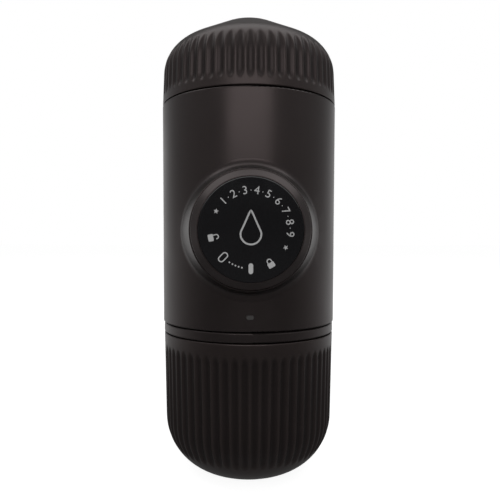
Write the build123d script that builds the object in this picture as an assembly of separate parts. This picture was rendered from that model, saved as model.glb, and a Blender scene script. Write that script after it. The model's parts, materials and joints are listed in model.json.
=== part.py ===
from build123d import *
import os
from math import acos, degrees, radians, sqrt, tan

os.makedirs("parts", exist_ok=True)

# A pocket espresso maker that is pumped by hand, closed for carrying and standing on its cup.
# From the table up: ribbed cup, ring of the portafilter, smooth body with the pump at its front,
# ribbed water tank. The origin is the middle of the cup's underside, +Z runs up the main axis
# and the pump faces -Y. Sizes are in millimetres, and turns are in degrees.

# ---------------------------------------------------------------- outside
cup_height = 47.8
ring_height = 3.7  # from the cup's rim to the body's bottom edge
pump_rise = 30.75  # of the pump's axis above the body's bottom edge
pump_drop = 43.45  # of the pump's axis below the body's top edge
tank_height = 30.3
seam = 0.3  # open line between two pieces that part

body_radius = 30.25  # at the top edge
body_taper = 0.57  # how much smaller the body is at its bottom edge
cup_rim_step = 0.23  # how far the cup's rim stands in from the body
cup_taper = 1.15  # how much smaller the cup would be at the table if it weren't rounded
cup_base_round = 17.8
ring_step = 0.28  # how far the portafilter's ring stands in from the body
tank_rim_step = 0.05  # how far the tank's rim stands in from the body
tank_taper = 0.6  # how much smaller the tank is where its side would meet the slope of the roof
tank_roof_rise = 11.6
tank_shoulder_round = 11.7
tank_crown_radius = 7.0  # where the slope of the roof would meet its flat top
tank_crown_round = 8.0
edge_round = 0.5

flute_count = 60
flute_depth = 0.6
flute_width = 2.0
flute_runout = 3.0  # radius by which a flute bends out of the surface at its ends
tank_flute_start = 4.2  # above the body's top edge
tank_flute_wrap = 22.0  # how far a flute goes round the shoulder
cup_flute_start = 5.5  # below the cup's rim
cup_flute_wrap = 21.0

index_width = 2.5
index_height = 1.4
index_rise = 4.5  # above the body's bottom edge
index_relief = 0.25

# ---------------------------------------------------------------- walls and clearances
cup_wall = 2.4
tank_wall = 2.4
body_wall = 2.28  # at the bottom edge
seat_gap = 0.1  # round or before a piece that is seated in its place
slide_gap = 0.3  # between plain pieces that slide or turn past each other
running_gap = 0.08  # round a shaft
seal_gap = 0.07  # before a seal's crest

# ---------------------------------------------------------------- screw threads
thread_lead = 12.0
thread_starts = 3
thread_span = 150.0
ridge_height = 1.0
ridge_foot = 2.4
ridge_crest = 1.3
ridge_bite = 0.3  # how deep a ridge is rooted in its wall
thread_gap = 0.3

# ---------------------------------------------------------------- pump, along its own axis
knob_rise = 4.0  # of the knob's face in front of the collar
knob_radius = 17.35
knob_gap = 0.15  # round the knob in its collar
knob_wall = 2.0
knob_face_wall = 2.5
knob_bevel_depth = 2.6
knob_bevel_width = 2.0
knob_front_round = 0.3
knob_skirt_hold = 9.5  # of the skirt stays in the collar when the pump is drawn out
knob_hub_radius = 7.6
label_radius = 15.05
label_thickness = 0.8
label_sink = 0.1

collar_rise = 5.58  # in front of the body's side
collar_lip = 0.45
collar_flare = 4.9  # how much wider the collar is at its root
collar_root_sink = 3.2  # how deep the collar starts in the body's side
collar_blend = 3.0
collar_lip_round = 0.2
pump_tube_wall = 3.1  # round the knob's bore, inside the body

flange_front = 4.0
flange_thickness = 2.5
flange_ear_radius = 2.8
flange_screw_circle = 21.3
flange_screw_count = 4
flange_boss_depth = 9.0

lock_ring_thickness = 6.0
lock_ring_seat = 0.8  # how much wider than the knob's bore its seat is
lug_count = 2
lug_height = 2.2
lug_width = 30.0
lug_thickness = 3.0
lug_back = 1.0  # from the flange to the lugs
unlock_turn = 45.0
stop_gap = 1.0  # degrees between a lug and its stop

pump_back_room = 7.9  # between the end of the pump's bore and the body's wall
bore_radius = 7.0
bore_wall = 2.2
bore_mouth = 1.0  # of the bore stays clear before the piston when the pump is drawn out
bore_end_wall = 2.0
piston_back_gap = 1.5
piston_head_length = 7.0
piston_head_gap = 0.15
rod_radius = 4.5
journal_radius = 3.0
journal_length = 7.0
seal_section = 0.58
seal_pitch = 3.4
groove_play = 0.15

pump_spring_radius = 11.6
pump_spring_wire = 0.7
pump_spring_turns = 6

# ---------------------------------------------------------------- valves
port_radius = 0.6
port_wall = 2.0
chamber_radius = 4.2
chamber_wall = 1.4
ball_radius = 2.5
seat_radius = 1.6
valve_lift = 1.2
valve_spring_radius = 1.5
valve_spring_wire = 0.2
valve_spring_turns = 5
valve_spring_spare = 1.4  # left open between the turns when a valve is open
plug_length = 3.0
fitting_head_height = 2.4
nipple_radius = 3.0
nipple_depth = 3.0
nipple_seal_section = 0.45
fitting_sides = 6

# ---------------------------------------------------------------- tank socket
socket_floor_thickness = 2.0
socket_top_drop = 2.3  # below the body's top edge
tank_socket_wall = 1.6
shoulder_width = 2.6
shoulder_thickness = 2.0
neck_wall = 1.8
neck_floor_gap = 2.8
tank_thread_rise = 2.2  # from the neck's end to its lowest ridge
tank_seal_section = 0.9
strainer_radius = 4.8
strainer_height = 2.2
strainer_skin = 0.5
strainer_hole_radius = 0.35
strainer_hole_pitch = 1.5
strainer_rings = 2

# ---------------------------------------------------------------- brew head
head_length = 11.5  # below the body's bottom edge
head_wall = 2.0
head_deck_thickness = 2.0
head_flange_rise = 1.5
head_flange_thickness = 2.5
head_screw_inset = 2.3  # from the body's wall
head_screw_count = 4
head_boss_radius = 2.9
head_boss_height = 10.0
head_thread_rise = 1.9
head_duct_radius = 3.7
head_duct_bore = 1.2
socket_wall = 1.5
head_post_radius = 4.0

shower_thickness = 0.6
shower_chamber = 1.5
shower_ledge = 0.6
shower_hole_radius = 0.5
shower_hole_pitch = 3.1
shower_rings = 5

gasket_overhang = 0.2  # beyond the basket's rim
gasket_width = 1.3
gasket_shower_gap = 0.7
gasket_height = 2.0
gasket_proud = 0.8

# ---------------------------------------------------------------- screws
screw_radius = 1.0
screw_head_radius = 2.0
screw_head_height = 1.3
screw_length = 9.0
pilot_extra = 1.0  # how much deeper a screw's hole is
knob_screw_head_radius = 3.8
knob_washer_radius = 4.6
knob_washer_thickness = 0.4

# ---------------------------------------------------------------- basket, scoop and portafilter
hole_step = 6  # holes in the first ring, and how many more there are in each next one
basket_skin = 0.6
basket_rim_step = 0.9  # how far the rim stands in from the brew head's thread
basket_rim_width = 2.1
basket_taper = 0.9
basket_depth = 13.5
basket_play = 0.7
basket_hole_radius = 0.4
basket_hole_pitch = 2.6
basket_rings = 6

scoop_wall = 1.4
scoop_play = 0.6
scoop_height = 12.4
scoop_lip = 0.7

skirt_step = 3.2  # how far the skirt stands in from the ring
skirt_wall = 2.0
skirt_length = 11.0
bowl_wall = 2.6
bowl_floor = 2.5
cup_seal_drop = 4.5  # below the cup's rim
cup_seal_section = 0.9

outlet_radius = 8.0
outlet_bore = 5.0
outlet_length = 6.0
valve_disc_radius = 4.2
valve_disc_thickness = 0.8
valve_stem_radius = 1.2
valve_bulb_radius = 1.7
valve_bulb_height = 1.4
drain_radius = 0.8
drain_circle = 2.8
drain_count = 6

spout_lug_count = 3
spout_lug_width = 24.0
spout_lug_height = 1.3
spout_lug_thickness = 1.4
spout_lug_rise = 0.9  # above the outlet's end
spout_ledge = 1.4
spout_wall = 1.7
spout_floor = 1.7
spout_nozzle_length = 4.0
spout_nozzle_radius = 4.7
spout_nozzle_tip_radius = 4.3
spout_bore = 3.2
spout_turn = 60.0
spout_seal_circle = 6.4
spout_seal_section = 0.6

# ---------------------------------------------------------------- radii from the outside in
body_bottom_radius = body_radius - body_taper
body_bore_radius = body_bottom_radius - body_wall
tank_rim_radius = body_radius - tank_rim_step
tank_shoulder_radius = tank_rim_radius - tank_taper
cup_rim_radius = body_bottom_radius - cup_rim_step
cup_base_radius = cup_rim_radius - cup_taper
ring_radius = body_bottom_radius - ring_step

socket_bore = body_bore_radius - seat_gap - tank_socket_wall
neck_root_radius = socket_bore - thread_gap - ridge_height
skirt_radius = ring_radius - skirt_step
head_bore = skirt_radius - skirt_wall
head_root_radius = head_bore - thread_gap - ridge_height
head_screw_circle = body_bore_radius - head_screw_inset
basket_rim_radius = head_root_radius - basket_rim_step
basket_top_radius = basket_rim_radius - basket_rim_width
basket_bottom_radius = basket_top_radius - basket_taper
gasket_outer_radius = basket_rim_radius + gasket_overhang
gasket_inner_radius = gasket_outer_radius - gasket_width
shower_radius = gasket_inner_radius - gasket_shower_gap

# ---------------------------------------------------------------- levels on the main axis
body_height = pump_rise + pump_drop
body_bottom = cup_height + ring_height
body_top = body_bottom + body_height
tank_bottom = body_top + seam
tank_top = body_top + tank_height
pump_level = body_bottom + pump_rise

knob_bore = knob_radius + knob_gap
collar_radius = knob_bore + collar_lip
collar_root_radius = collar_radius + collar_flare
pump_tube_radius = knob_bore + pump_tube_wall
pump_side = body_bottom_radius + body_taper * pump_rise / body_height
collar_root = sqrt(pump_side**2 - collar_root_radius**2) - collar_root_sink
collar_front = pump_side + collar_rise
knob_front = collar_front + knob_rise
lock_ring_front = flange_front + lock_ring_thickness
lock_ring_radius = knob_bore + lock_ring_seat - seat_gap
hub_back = flange_front + lug_back
lug_radius = knob_hub_radius + lug_height
flange_back = flange_front - flange_thickness
bore_floor = pump_back_room - body_bore_radius
piston_back = bore_floor + piston_back_gap
piston_head_front = piston_back + piston_head_length
stroke = flange_front - bore_mouth - piston_head_front
knob_skirt_back = collar_front - stroke - knob_skirt_hold
label_back = knob_front - label_sink - label_thickness
knob_face_back = label_back - knob_face_wall
knob_screw_seat = label_back - seat_gap * 2 - screw_head_height - knob_washer_thickness
journal_back = knob_screw_seat - journal_length

# The valves stand above and below the end of the pump's bore. Their heights are from the pump's axis.
port_offset = -(bore_floor + piston_back) / 2
chamber_start = bore_radius + port_wall
ball_to_seat = sqrt(ball_radius**2 - seat_radius**2) + seal_gap
ball_to_spring = sqrt((ball_radius + valve_spring_wire) ** 2 - valve_spring_radius**2) + seal_gap
valve_spring_length = 2 * valve_spring_wire * valve_spring_turns + valve_lift + valve_spring_spare
spring_stack = valve_spring_length + valve_spring_wire + ball_to_spring
inlet_ball_height = chamber_start + spring_stack
inlet_seat_height = inlet_ball_height + ball_to_seat
inlet_boss_top = inlet_seat_height + plug_length
inlet_head_top = inlet_boss_top + fitting_head_height
outlet_ball_depth = chamber_start + ball_to_seat
outlet_seat_depth = outlet_ball_depth + spring_stack
outlet_boss_bottom = outlet_seat_depth + plug_length
outlet_head_bottom = outlet_boss_bottom + fitting_head_height

socket_floor = pump_level + inlet_head_top + seam
socket_inside = socket_floor + socket_floor_thickness
socket_top = body_top - socket_top_drop
neck_bottom = socket_inside + neck_floor_gap

head_bottom = body_bottom - head_length
flange_low = body_bottom + head_flange_rise
flange_high = flange_low + head_flange_thickness
shower_low = head_bottom + seat_gap
shower_high = shower_low + shower_thickness
chamber_high = shower_high + shower_chamber
deck_high = chamber_high + head_deck_thickness
duct_top = pump_level - outlet_head_bottom - seat_gap
gasket_bottom = head_bottom - gasket_proud

basket_top = gasket_bottom - seat_gap
basket_ledge = basket_top - basket_skin - seat_gap
basket_bottom = basket_ledge + seat_gap - basket_depth
bowl_radius = basket_top_radius + basket_play
bowl_bottom = basket_bottom - slide_gap * 2 - valve_bulb_height
bowl_underside = bowl_bottom - bowl_floor
outlet_bottom = bowl_underside - outlet_length
ring_low = cup_height + seam
ring_high = body_bottom - seam

spout_floor_top = outlet_bottom - slide_gap
spout_lug_radius = outlet_radius + spout_lug_height
spout_groove_low = outlet_bottom + spout_lug_rise - slide_gap
spout_groove_high = outlet_bottom + spout_lug_rise + spout_lug_thickness + slide_gap
spout_groove_radius = spout_lug_radius + slide_gap
spout_radius = spout_groove_radius + spout_wall
spout_top = spout_groove_high + spout_ledge
spout_shelf = spout_floor_top - spout_floor
spout_tip = spout_shelf - spout_nozzle_length

ON_BASE = (Align.CENTER, Align.CENTER, Align.MIN)
PUMP = Location((0, 0, pump_level), (90, 0, 0))  # local +Z leads out of the body's front
PORT = Pos(0, port_offset, 0)


# ---------------------------------------------------------------- helpers
def disc(radius, low, high):
    """A round solid about the Z axis between two levels."""
    return Pos(0, 0, low) * Cylinder(radius, high - low, align=ON_BASE)


def cone(low_radius, high_radius, low, high):
    """A tapered round solid about the Z axis between two levels."""
    return Pos(0, 0, low) * Cone(low_radius, high_radius, high - low, align=ON_BASE)


def tube(outer, inner, low, high):
    """A straight tube about the Z axis between two levels."""
    return disc(outer, low, high) - disc(inner, low, high)


def turned(*outline):
    """A solid turned about the Z axis from an outline of (radius, level) points."""
    return revolve(Plane.XZ * make_face(Polyline(*outline, close=True)), Axis.Z)


def sector(outer, inner, low, high, middle, width):
    """A piece of a tube that is width degrees wide about the direction middle."""
    start = Plane.XZ * (Pos((inner + outer) / 2, (low + high) / 2) * Rectangle(outer - inner, high - low))
    return Rot(0, 0, middle - width / 2) * revolve(start, Axis.Z, width)


def around(shape, count, first=0.0):
    """Copies of a shape, evenly spaced about the Z axis."""
    return [Rot(0, 0, first + k * 360 / count) * shape for k in range(count)]


def on_circle(shape, radius, count, first=0.0):
    """Copies of a shape on a circle about the Z axis."""
    return around(Pos(radius, 0, 0) * shape, count, first)


def hole_rings(radius, low, high, pitch, rings):
    """Round cutters in rings, each ring with more of them than the one inside it."""
    hole = disc(radius, low, high)
    return [cut for k in range(1, rings + 1) for cut in on_circle(hole, k * pitch, k * hole_step)]


def seal_ring(middle_radius, section, level):
    """A ring of round section about the Z axis."""
    return Pos(0, 0, level) * Torus(middle_radius, section)


def coil(radius, wire, low, high, turns):
    """A coil spring about the Z axis, its wire's middle running between two levels."""
    path = Pos(0, 0, low) * Helix((high - low) / turns, high - low, radius)
    return sweep(Plane(origin=path @ 0, z_dir=path % 0) * Circle(wire), path=path, is_frenet=True)


def thread(wall_radius, outward, low):
    """The ridges of a many-start screw thread on a round wall. low is where their middles start."""
    side = 1 if outward else -1
    path = Helix(thread_lead, thread_lead * thread_span / 360, wall_radius)
    outline = Polyline(
        (-side * ridge_bite, -ridge_foot / 2),
        (side * ridge_height, -ridge_crest / 2),
        (side * ridge_height, ridge_crest / 2),
        (-side * ridge_bite, ridge_foot / 2),
        close=True,
    )
    section = Plane(origin=path @ 0, x_dir=(1, 0, 0), z_dir=path % 0) * make_face(outline)
    return around(Pos(0, 0, low) * sweep(section, path=path, is_frenet=True), thread_starts)


def screw(seat, length, head_radius=screw_head_radius):
    """A pan head screw whose head stands below the level seat and whose shank leads up."""
    return disc(head_radius, seat - screw_head_height, seat) + disc(screw_radius, seat, seat + length)


def round_of_corner(before, corner, after, radius):
    """The way into a corner of an outline, the way to its inside, and where its round starts."""
    along = (corner - before).normalized()
    leaving = (after - corner).normalized()
    inward = (leaving - along * leaving.dot(along)).normalized()
    start = corner - along * radius * tan(radians(along.get_angle(leaving)) / 2)
    return along, inward, start


def flute_cutters(before, corner, after, corner_round, start, wrap, first):
    """Round cutters for the flutes. Each lies along a side from the distance start to the corner
    and goes wrap degrees round it, and bends out of the surface at both ends."""
    along, inward, round_start = round_of_corner(before, corner, after, corner_round)
    cutter_radius = (flute_width**2 / 4 + flute_depth**2) / (2 * flute_depth)
    stand_off = inward * (flute_depth - cutter_radius)
    side_start = before + along * start + stand_off
    side_end = round_start + stand_off
    bend = degrees(acos(1 - flute_depth / flute_runout))
    hand = 1 if along.cross(inward).Z > 0 else -1
    entry = JernArc(side_start, -along, flute_runout, hand * bend)
    side = Line(side_start, side_end)
    over = JernArc(side_end, along, corner_round + cutter_radius - flute_depth, hand * wrap)
    leave = JernArc(over @ 1, over % 1, flute_runout, -hand * bend)
    path = Plane.XZ * Wire([entry, side, over, leave])
    section = Plane(origin=path @ 0, z_dir=path % 0) * Circle(cutter_radius)
    return around(sweep(section, path=path), flute_count, first)


def solid_and_hollow(points, radii, wall):
    """A round solid through the corners from axis to rim, and the hollow that leaves it one wall."""
    line = FilletPolyline(*points, radius=radii)
    rim_radius, rim_level = points[-1]
    rim = Polyline((rim_radius, rim_level), (-rim_radius, rim_level))
    whole = make_face(Wire(line.edges() + mirror(line, Plane.YZ).edges() + rim.edges()))
    inside = offset(whole, -wall, kind=Kind.INTERSECTION)
    return [revolve(Plane.XZ * split(face, Plane.YZ), Axis.Z) for face in (whole, inside)]


# ---------------------------------------------------------------- cup
def cup_side(level):
    """The cup's outer radius at a level of its straight side."""
    return cup_base_radius + cup_taper * level / cup_height


def make_cup():
    points = ((0, 0), (cup_base_radius, 0), (cup_rim_radius, cup_height))
    shell, hollow = solid_and_hollow(points, cup_base_round, cup_wall)
    mouth_radius = cup_side(cup_height - cup_wall) - cup_wall
    mouth = disc(mouth_radius, cup_height - cup_wall - seat_gap, cup_height)
    corners = [Vector(*p) for p in reversed(points)]
    cutters = flute_cutters(*corners, cup_base_round, cup_flute_start, cup_flute_wrap, 180 / flute_count)
    cup = shell - hollow - mouth
    cup = fillet(cup.edges().group_by(Axis.Z)[-1], edge_round)
    return cup - cutters


# ---------------------------------------------------------------- water tank
def make_water_tank():
    points = (
        (0, tank_top),
        (tank_crown_radius, tank_top),
        (tank_shoulder_radius, tank_top - tank_roof_rise),
        (tank_rim_radius, tank_bottom),
    )
    shell, hollow = solid_and_hollow(points, (tank_crown_round, tank_shoulder_round), tank_wall)
    shell = fillet(shell.edges().group_by(Axis.Z)[0], edge_round)
    corners = [Vector(*p) for p in reversed(points[1:])]
    start = tank_flute_start - seam
    cutters = flute_cutters(*corners, tank_shoulder_round, start, tank_flute_wrap, 0)
    neck = disc(neck_root_radius, neck_bottom, tank_bottom + tank_wall)
    bore = disc(neck_root_radius - neck_wall, neck_bottom, tank_bottom + tank_wall + seat_gap)
    ridges = thread(neck_root_radius, True, neck_bottom + tank_thread_rise)
    return (shell - hollow + neck - bore + ridges) - cutters


def make_tank_seal():
    middle = neck_root_radius + seal_gap + tank_seal_section
    return seal_ring(middle, tank_seal_section, tank_bottom - seal_gap - tank_seal_section)


def make_tank_socket():
    outer = body_bore_radius - seat_gap
    wall = disc(outer, socket_floor, socket_top) - disc(socket_bore, socket_inside, socket_top)
    inlet = PORT * disc(nipple_radius + seat_gap, socket_floor, socket_inside)
    half_pitch = thread_lead / thread_starts / 2
    return wall - inlet + thread(socket_bore, False, neck_bottom + tank_thread_rise + half_pitch)


def make_inlet_strainer():
    top = socket_inside + strainer_height
    cap = disc(strainer_radius, socket_inside, top)
    cap -= disc(strainer_radius - strainer_skin, socket_inside, top - strainer_skin)
    holes = hole_rings(
        strainer_hole_radius, top - 2 * strainer_skin, top, strainer_hole_pitch, strainer_rings
    )
    return PORT * (cap - holes)


# ---------------------------------------------------------------- body shell
def flange_screw_places(shape):
    return on_circle(shape, flange_screw_circle, flange_screw_count, 180 / flange_screw_count)


def head_screw_places(shape):
    return on_circle(shape, head_screw_circle, head_screw_count, 180 / head_screw_count)


def body_side(level):
    """The body's outer radius at a level."""
    share = (level - body_bottom) / body_height
    return body_bottom_radius + body_taper * share


def make_index():
    """The raised mark that the knob's marks point at."""
    level = body_bottom + index_rise
    face = body_side(level) + index_relief
    mark = Plane.XZ * (Pos(0, level) * SlotOverall(index_width, index_height))
    depth = face - body_bore_radius - index_relief
    return extrude(Pos(0, -face, 0) * mark, -depth)


def make_body_shell():
    outside = turned(
        (0, body_bottom), (body_bottom_radius, body_bottom), (body_radius, body_top), (0, body_top)
    )
    ends = outside.edges().group_by(Axis.Z)
    outside = fillet(ends[0] + ends[-1], edge_round)
    outside += PUMP * cone(collar_root_radius, collar_radius, collar_root, collar_front)
    meeting = outside.edges().filter_by(GeomType.BSPLINE)
    outside = fillet(meeting, collar_blend)

    bore = disc(body_bore_radius, body_bottom, body_top)
    inside = disc(body_bore_radius + ridge_bite, body_bottom, body_top)
    pump_tube = PUMP * disc(pump_tube_radius, flange_front, body_bore_radius)
    flange_boss = disc(flange_ear_radius, flange_front, flange_front + flange_boss_depth)
    flange_bosses = [PUMP * boss for boss in flange_screw_places(flange_boss)]
    head_boss = disc(head_boss_radius, flange_high, flange_high + head_boss_height)
    head_bosses = head_screw_places(head_boss)
    shoulder = tube(
        body_bore_radius + ridge_bite,
        body_bore_radius - shoulder_width,
        socket_floor - shoulder_thickness,
        socket_floor,
    )
    shell = outside - bore + [boss & inside for boss in [pump_tube, *head_bosses]]
    shell += [*flange_bosses, shoulder]

    pilot = screw_radius + seat_gap / 2
    pilot_depth = screw_length + pilot_extra - flange_thickness
    flange_pilot = disc(pilot, flange_front, flange_front + pilot_depth)
    pilot_depth = screw_length + pilot_extra - head_flange_thickness
    head_pilot = disc(pilot, flange_high, flange_high + pilot_depth)
    shell -= [PUMP * hole for hole in flange_screw_places(flange_pilot)]
    shell -= head_screw_places(head_pilot)
    shell -= PUMP * disc(lock_ring_radius + seat_gap, flange_front, lock_ring_front)
    shell -= PUMP * disc(knob_bore, flange_front, collar_front)
    lip = shell.edges().group_by(Axis.Y)[0]
    return fillet(lip, collar_lip_round) + make_index()


# ---------------------------------------------------------------- pump
def make_pump_cylinder():
    bore_outer = bore_radius + bore_wall
    barrel = disc(bore_outer, bore_floor - bore_end_wall, flange_front)
    barrel += disc(pump_tube_radius, flange_back, flange_front)
    barrel += flange_screw_places(disc(flange_ear_radius, flange_back, flange_front))
    barrel -= flange_screw_places(disc(screw_radius + seat_gap, flange_back, flange_front))
    chamber_outer = chamber_radius + chamber_wall
    boss_low = pump_level - outlet_boss_bottom
    boss_high = pump_level + inlet_boss_top
    body = PUMP * barrel + PORT * disc(chamber_outer, boss_low, boss_high)
    body -= PUMP * disc(bore_radius, bore_floor, flange_front)
    upper_start = pump_level + chamber_start
    lower_start = pump_level - chamber_start
    body -= PORT * disc(chamber_radius, upper_start, boss_high)
    body -= PORT * disc(chamber_radius, boss_low, lower_start)
    body -= PORT * disc(port_radius, lower_start, upper_start)
    countersink = seat_radius - port_radius
    return body - PORT * cone(seat_radius, port_radius, lower_start, lower_start + countersink)


def make_pump_screws():
    screws = flange_screw_places(screw(flange_back, screw_length))
    return Compound(children=[PUMP * s for s in screws])


def make_lock_ring():
    ring = tube(lock_ring_radius, knob_hub_radius + slide_gap, flange_front, lock_ring_front)
    width = lug_width + unlock_turn + 2 * stop_gap
    middle = unlock_turn / 2
    track_radius = lug_radius + slide_gap
    track = sector(track_radius, knob_hub_radius, flange_front, lock_ring_front, middle, width)
    return PUMP * (ring - around(track, lug_count))


def make_piston():
    head_radius = bore_radius - piston_head_gap
    rod = disc(head_radius, piston_back, piston_head_front)
    rod += disc(rod_radius, piston_head_front, journal_back)
    rod += disc(journal_radius, journal_back, knob_screw_seat)
    groove_floor = bore_radius - seal_gap - 2 * seal_section - groove_play / 2
    half = seal_section + groove_play
    for level in piston_seal_levels():
        rod -= tube(head_radius + seat_gap, groove_floor, level - half, level + half)
    hole_depth = screw_length + pilot_extra
    rod -= disc(screw_radius + seat_gap / 2, knob_screw_seat - hole_depth, knob_screw_seat)
    return PUMP * rod


def piston_seal_levels():
    """Where the two seals lie along the piston's head."""
    middle = (piston_back + piston_head_front) / 2
    return [middle - seal_pitch / 2, middle + seal_pitch / 2]


def make_piston_seals():
    radius = bore_radius - seal_gap - seal_section
    rings = [seal_ring(radius, seal_section, level) for level in piston_seal_levels()]
    return Compound(children=[PUMP * ring for ring in rings])


def make_pump_spring():
    low = lock_ring_front + seat_gap + pump_spring_wire
    high = knob_face_back - seat_gap - pump_spring_wire
    return PUMP * coil(pump_spring_radius, pump_spring_wire, low, high, pump_spring_turns)


def make_knob():
    bevel_back = knob_front - knob_bevel_depth
    outside = turned(
        (0, knob_skirt_back),
        (knob_radius, knob_skirt_back),
        (knob_radius, bevel_back),
        (knob_radius - knob_bevel_width, knob_front),
        (0, knob_front),
    )
    rims = outside.edges().filter_by(GeomType.CIRCLE).group_by(Axis.Z)
    outside = fillet(rims[-2], edge_round)
    outside = fillet(outside.edges().group_by(Axis.Z)[-1], knob_front_round)
    knob = outside - disc(knob_radius - knob_wall, knob_skirt_back, knob_face_back)
    knob += disc(knob_hub_radius, hub_back, knob_face_back)
    lug_root = knob_hub_radius - ridge_bite
    lug = sector(lug_radius, lug_root, hub_back, hub_back + lug_thickness, 0, lug_width)
    knob += around(lug, lug_count)
    knob -= disc(label_radius + seat_gap, label_back, knob_front)
    knob -= disc(rod_radius + running_gap, hub_back, journal_back + seat_gap)
    knob -= disc(journal_radius + running_gap, journal_back, label_back)
    washer_well = knob_screw_seat - seat_gap
    knob -= disc(knob_washer_radius + seat_gap, washer_well, label_back)
    return PUMP * knob


def make_label_disc():
    return PUMP * disc(label_radius, label_back, label_back + label_thickness)


def make_knob_washer():
    high = knob_screw_seat + knob_washer_thickness
    return PUMP * tube(knob_washer_radius, screw_radius + seat_gap, knob_screw_seat, high)


def make_knob_screw():
    seat = knob_screw_seat + knob_washer_thickness
    pointing_back = Location((0, 0, seat), (180, 0, 0)) * screw(0, screw_length, knob_screw_head_radius)
    return PUMP * pointing_back


# ---------------------------------------------------------------- valves
inlet_seal_level = (socket_floor + socket_inside) / 2
outlet_seal_level = duct_top - nipple_depth / 2


def valve_fitting(length, bore, seal_distance):
    """A bored plug with a hexagon head and a grooved nipple, along +Z from the plug's end."""
    head_end = plug_length + fitting_head_height
    head = RegularPolygon(chamber_radius + chamber_wall, fitting_sides)
    fitting = disc(chamber_radius - seat_gap, 0, plug_length)
    fitting += Pos(0, 0, plug_length) * extrude(head, fitting_head_height)
    fitting += disc(nipple_radius, head_end, length)
    fitting -= disc(bore, 0, length)
    groove_floor = nipple_radius - 2 * nipple_seal_section - groove_play / 2
    half = nipple_seal_section + groove_play / 2
    groove_back = seal_distance - half
    return fitting - tube(nipple_radius + seat_gap, groove_floor, groove_back, seal_distance + half)


def make_inlet_fitting():
    end = pump_level + inlet_seat_height
    length = socket_inside - seat_gap - end
    return PORT * Pos(0, 0, end) * valve_fitting(length, seat_radius, inlet_seal_level - end)


def make_outlet_fitting():
    end = pump_level - outlet_seat_depth
    length = end - duct_top + nipple_depth
    fitting = valve_fitting(length, head_duct_bore, end - outlet_seal_level)
    return PORT * Pos(0, 0, end) * Rot(180, 0, 0) * fitting


def make_fitting_seals():
    radius = nipple_radius - nipple_seal_section
    levels = (inlet_seal_level, outlet_seal_level)
    return Compound(children=[PORT * seal_ring(radius, nipple_seal_section, z) for z in levels])


def valve_ball(level):
    return PORT * Pos(0, 0, level) * Sphere(ball_radius)


def valve_spring(low):
    start = low + valve_spring_wire
    return PORT * coil(
        valve_spring_radius, valve_spring_wire, start, start + valve_spring_length, valve_spring_turns
    )


# ---------------------------------------------------------------- brew head
def make_brew_head():
    head = disc(head_root_radius, head_bottom, flange_high)
    head += disc(body_bore_radius - seat_gap, flange_low, flange_high)
    head -= disc(head_root_radius - head_wall, deck_high, flange_high)
    head += disc(head_post_radius, deck_high, flange_low)
    head += PORT * disc(head_duct_radius, deck_high - seat_gap, duct_top - nipple_depth)
    socket_outer = nipple_radius + seat_gap + socket_wall
    head += PORT * disc(socket_outer, flange_low, duct_top)
    head -= PORT * disc(nipple_radius + seat_gap, duct_top - nipple_depth - seat_gap, duct_top)
    head -= PORT * disc(head_duct_bore, shower_high, duct_top)
    head -= disc(shower_radius + seat_gap, head_bottom, shower_high)
    head -= disc(shower_radius - shower_ledge, head_bottom, chamber_high)
    head += tube(screw_head_radius, screw_radius + seat_gap / 2, shower_high, chamber_high)
    head -= disc(screw_radius + seat_gap / 2, shower_high, shower_high + screw_length + pilot_extra)
    gasket_top = gasket_bottom + gasket_height
    head -= tube(gasket_outer_radius + seat_gap, gasket_inner_radius - seat_gap, head_bottom, gasket_top)
    head -= head_screw_places(disc(screw_radius + seat_gap, flange_low, flange_high))
    return head + thread(head_root_radius, True, head_bottom + head_thread_rise)


def make_head_screws():
    return Compound(children=head_screw_places(screw(flange_low, screw_length)))


def make_group_gasket():
    return tube(gasket_outer_radius, gasket_inner_radius, gasket_bottom, gasket_bottom + gasket_height)


def make_shower_plate():
    plate = tube(shower_radius, screw_radius + seat_gap, shower_low, shower_high)
    return plate - hole_rings(
        shower_hole_radius, shower_low, shower_high, shower_hole_pitch, shower_rings
    )


def make_shower_screw():
    return screw(shower_low, screw_length)


# ---------------------------------------------------------------- basket and scoop
def make_filter_basket():
    rim_bottom = basket_top - basket_skin
    outside = disc(basket_rim_radius, rim_bottom, basket_top)
    outside += cone(basket_bottom_radius, basket_top_radius, basket_bottom, rim_bottom)
    floor_top = basket_bottom + basket_skin
    low_radius = basket_bottom_radius - basket_skin
    inside = cone(low_radius, basket_top_radius - basket_skin, floor_top, basket_top)
    holes = hole_rings(basket_hole_radius, basket_bottom, floor_top, basket_hole_pitch, basket_rings)
    middle_hole = disc(basket_hole_radius, basket_bottom, floor_top)
    return outside - inside - holes - middle_hole


def make_scoop():
    low = basket_bottom + basket_skin + seat_gap
    high = low + scoop_height
    play = basket_skin + scoop_play
    low_radius = basket_bottom_radius - play
    high_radius = basket_top_radius - play - scoop_lip
    lip_low = high - scoop_wall
    scoop = cone(low_radius - scoop_lip, high_radius, low, high)
    scoop += disc(high_radius + scoop_lip, lip_low, high)
    inside = cone(
        low_radius - scoop_lip - scoop_wall, high_radius - scoop_wall, low + scoop_wall, high
    )
    return scoop - inside


# ---------------------------------------------------------------- portafilter
cup_seal_level = cup_height - cup_seal_drop
cup_seal_outer = cup_side(cup_seal_level) - cup_wall - seat_gap


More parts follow.
